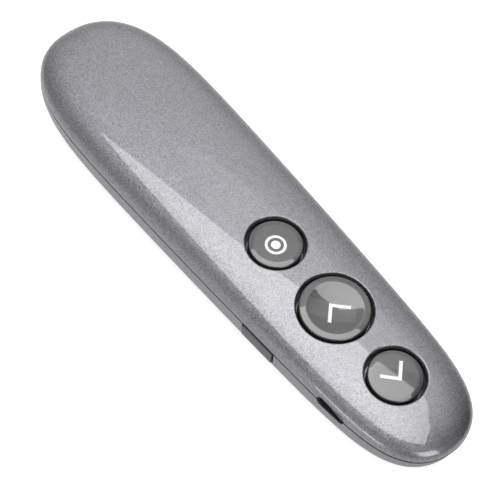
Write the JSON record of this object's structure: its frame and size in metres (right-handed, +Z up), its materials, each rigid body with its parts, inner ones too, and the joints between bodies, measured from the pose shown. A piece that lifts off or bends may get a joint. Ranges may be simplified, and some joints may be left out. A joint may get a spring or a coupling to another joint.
{
  "type": "wireless presenter",
  "caption": "Hand-held wireless presenter: slim rounded two-shell body with round push buttons, a side power key, a charging port, a nose laser and a stored plug-in receiver.",
  "frame": {"origin": "centre of the flat underside, at the middle of the body's length and width", "axes": "+Y points to the nose with the laser window, +Z up through the buttons, +X to the right; the power key and charging port are on the left, at -X"},
  "size_m": [0.0364, 0.14, 0.0166],
  "materials": {
    "casing_lacquer": "fine metallic grey lacquer under a clear coat",
    "button_gloss": "dark grey, polished",
    "power_key_grey": "satin dark grey",
    "black_plastic": "fine matte texture",
    "laser_window": "polished, dark red tint",
    "barrel_brass": "turned",
    "lens_glass": "polished",
    "diode_can": "gold plated",
    "wire_red": "extruded insulation",
    "wire_black": "extruded insulation",
    "board_laminate": "green solder mask",
    "chip_black": "moulded epoxy",
    "crystal_can": "plated can",
    "switch_body": "moulded",
    "switch_plunger": "moulded",
    "port_steel": "folded, plated",
    "cell_foil": "laminated foil",
    "foam": "adhesive foam",
    "connector_plastic": "moulded",
    "screw_steel": "zinc plated",
    "magnet_nickel": "nickel plated"
  },
  "bodies": {
    "casing": {"top_shell": "casing_lacquer", "bottom_shell": "casing_lacquer", "button_frame": "black_plastic", "laser_window": "laser_window", "laser_barrel": "barrel_brass", "laser_lens": "lens_glass", "laser_diode": "diode_can", "laser_lead_red": "wire_red", "laser_lead_black": "wire_black", "main_board": "board_laminate", "radio_chip": "chip_black", "crystal": "crystal_can", "charging_chip": "chip_black", "laser_switch_base": "switch_body", "page_up_switch_base": "switch_body", "page_down_switch_base": "switch_body", "power_switch_base": "switch_body", "charging_port_shell": "port_steel", "charging_port_tongue": "chip_black", "battery_cell": "cell_foil", "battery_pad": "foam", "battery_lead_red": "wire_red", "battery_lead_black": "wire_black", "battery_plug": "connector_plastic", "battery_socket": "connector_plastic", "board_screw_1": "screw_steel", "board_screw_2": "screw_steel", "board_screw_3": "screw_steel", "case_screw_front_left": "screw_steel", "case_screw_front_right": "screw_steel", "case_screw_rear_left": "screw_steel", "case_screw_rear_right": "screw_steel", "receiver_magnet": "magnet_nickel"},
    "laser_button": {"laser_button_cap": "button_gloss", "laser_switch_plunger": "switch_plunger"},
    "page_up_button": {"page_up_button_cap": "button_gloss", "page_up_switch_plunger": "switch_plunger"},
    "page_down_button": {"page_down_button_cap": "button_gloss", "page_down_switch_plunger": "switch_plunger"},
    "power_key_group": {"power_key": "power_key_grey", "power_switch_plunger": "switch_plunger"},
    "receiver": {"receiver_housing": "black_plastic", "receiver_plug_shell": "port_steel", "receiver_contact_board": "connector_plastic"}
  },
  "joints": [
    {"name": "laser_button_press", "type": "slide", "parent": "casing", "child": "laser_button", "axis": [0, 0.0139, -0.9999], "range_m": [0, 0.0005], "stiffness_N_per_m": 3000},
    {"name": "page_up_button_press", "type": "slide", "parent": "casing", "child": "page_up_button", "axis": [0, 0.0236, -0.9997], "range_m": [0, 0.0005], "stiffness_N_per_m": 3000},
    {"name": "page_down_button_press", "type": "slide", "parent": "casing", "child": "page_down_button", "axis": [0, 0.0509, -0.9987], "range_m": [0, 0.0005], "stiffness_N_per_m": 3000},
    {"name": "power_key_press", "type": "slide", "parent": "casing", "child": "power_key_group", "axis": [1, 0, 0], "range_m": [0, 0.0004], "stiffness_N_per_m": 3500},
    {"name": "receiver_pull", "type": "slide", "parent": "casing", "child": "receiver", "axis": [0, 0, -1], "range_m": [0, 0.0065]}
  ]
}
